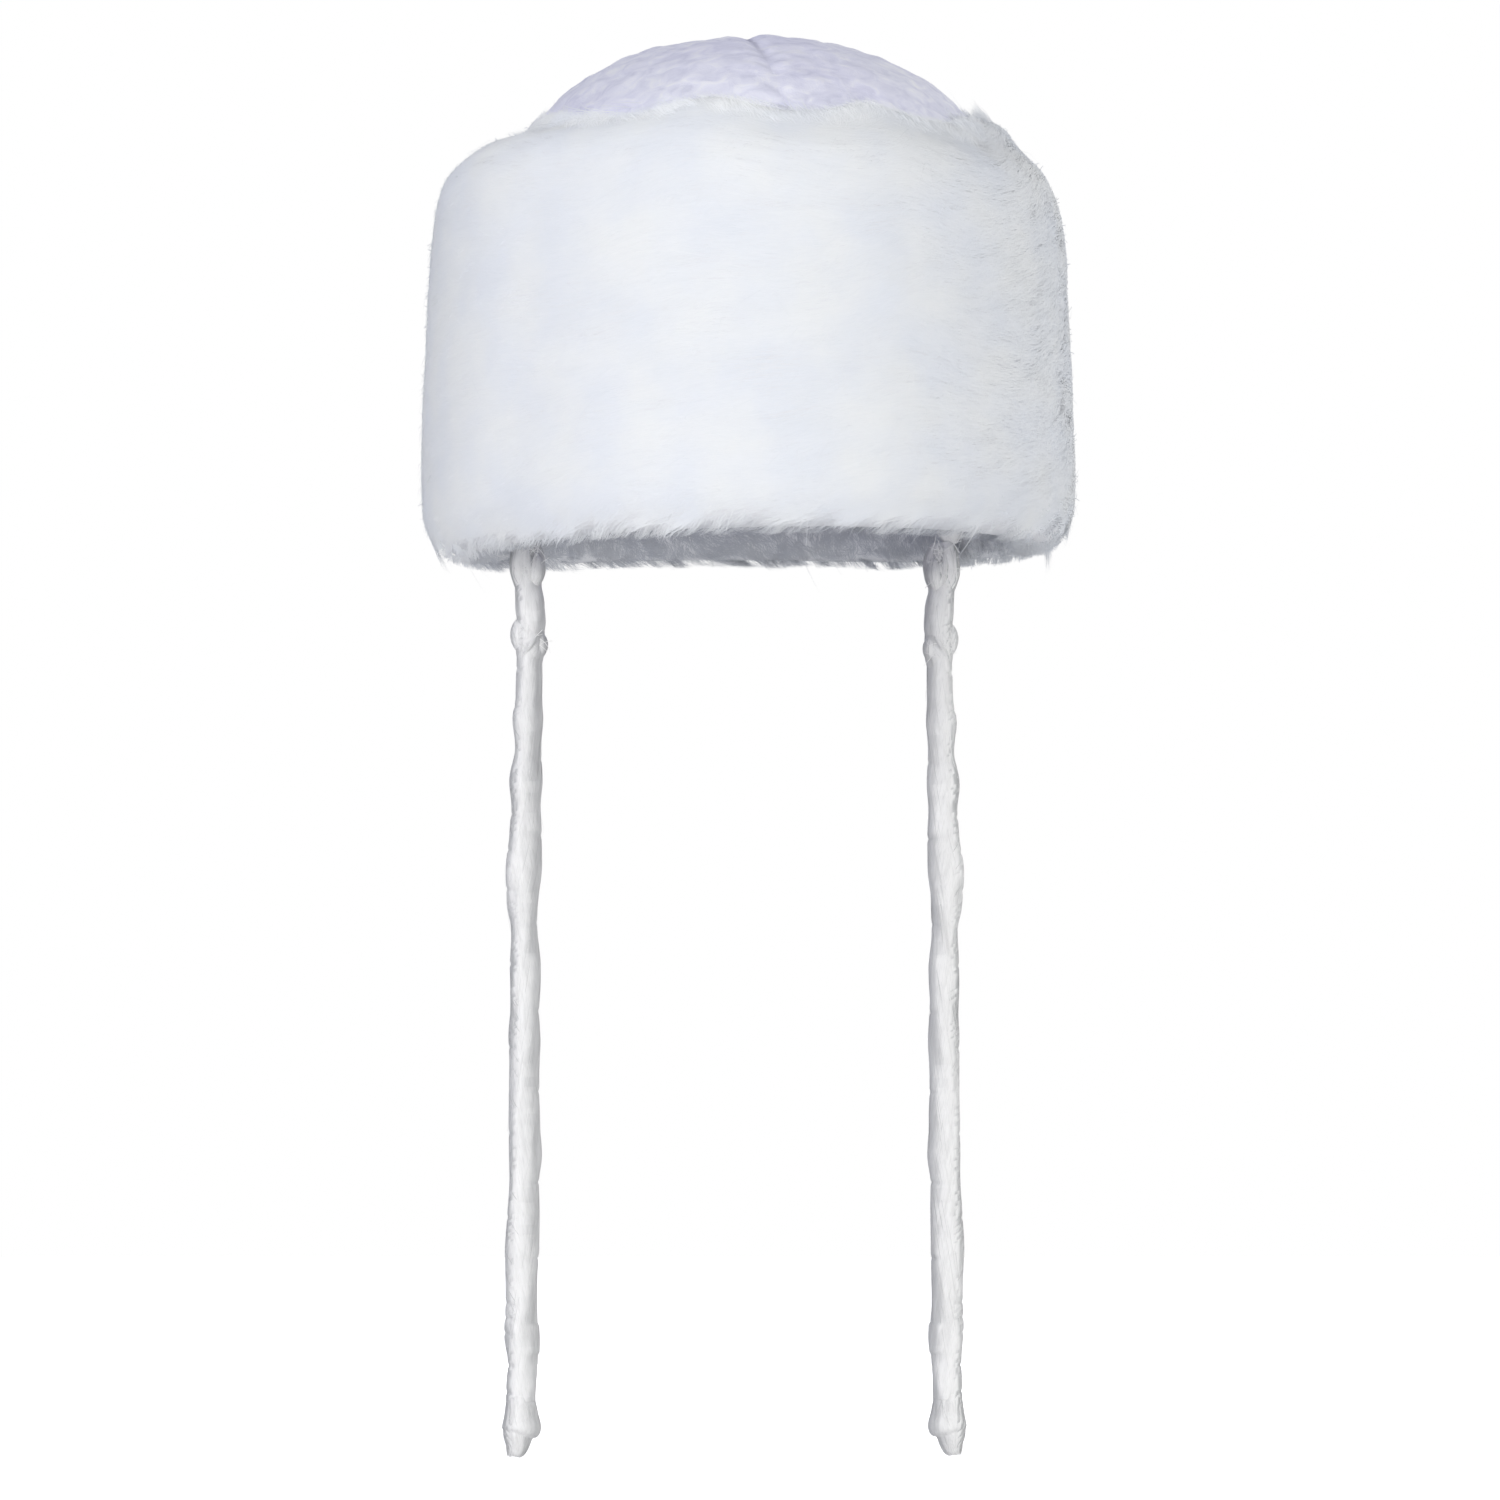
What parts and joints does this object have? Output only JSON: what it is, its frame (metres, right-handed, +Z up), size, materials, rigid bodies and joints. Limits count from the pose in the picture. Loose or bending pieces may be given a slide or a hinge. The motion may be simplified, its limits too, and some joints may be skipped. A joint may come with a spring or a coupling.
{
  "type": "fur hat with sidelocks",
  "caption": "Tall ring of combed white fur round a domed velvet crown, open below for the head, with two long knotted sidelocks hanging from inside the rim.",
  "frame": {"origin": "centre of the head opening, level with the rim of the fur band; the head comes in from below", "axes": "+Z up through the crown, -Y out of the front, +X to the right as seen from the front"},
  "size_m": [0.2379, 0.2638, 0.5112],
  "materials": {
    "velvet_crown": "crushed lavender-white velvet",
    "white_fur": "long white faux fur, combed",
    "white_hair": "glossy white twisted fibre"
  },
  "bodies": {
    "root": {"crown_panel_left": "velvet_crown", "crown_panel_right": "velvet_crown", "fur_band": "white_fur", "sidelock_left_root": "white_hair", "sidelock_left_top_knot": "white_hair", "sidelock_left_neck": "white_hair", "sidelock_left_mid_knot": "white_hair", "sidelock_left_strand": "white_hair", "sidelock_left_end_knot": "white_hair", "sidelock_right_root": "white_hair", "sidelock_right_top_knot": "white_hair", "sidelock_right_neck": "white_hair", "sidelock_right_mid_knot": "white_hair", "sidelock_right_strand": "white_hair", "sidelock_right_end_knot": "white_hair"}
  },
  "joints": []
}
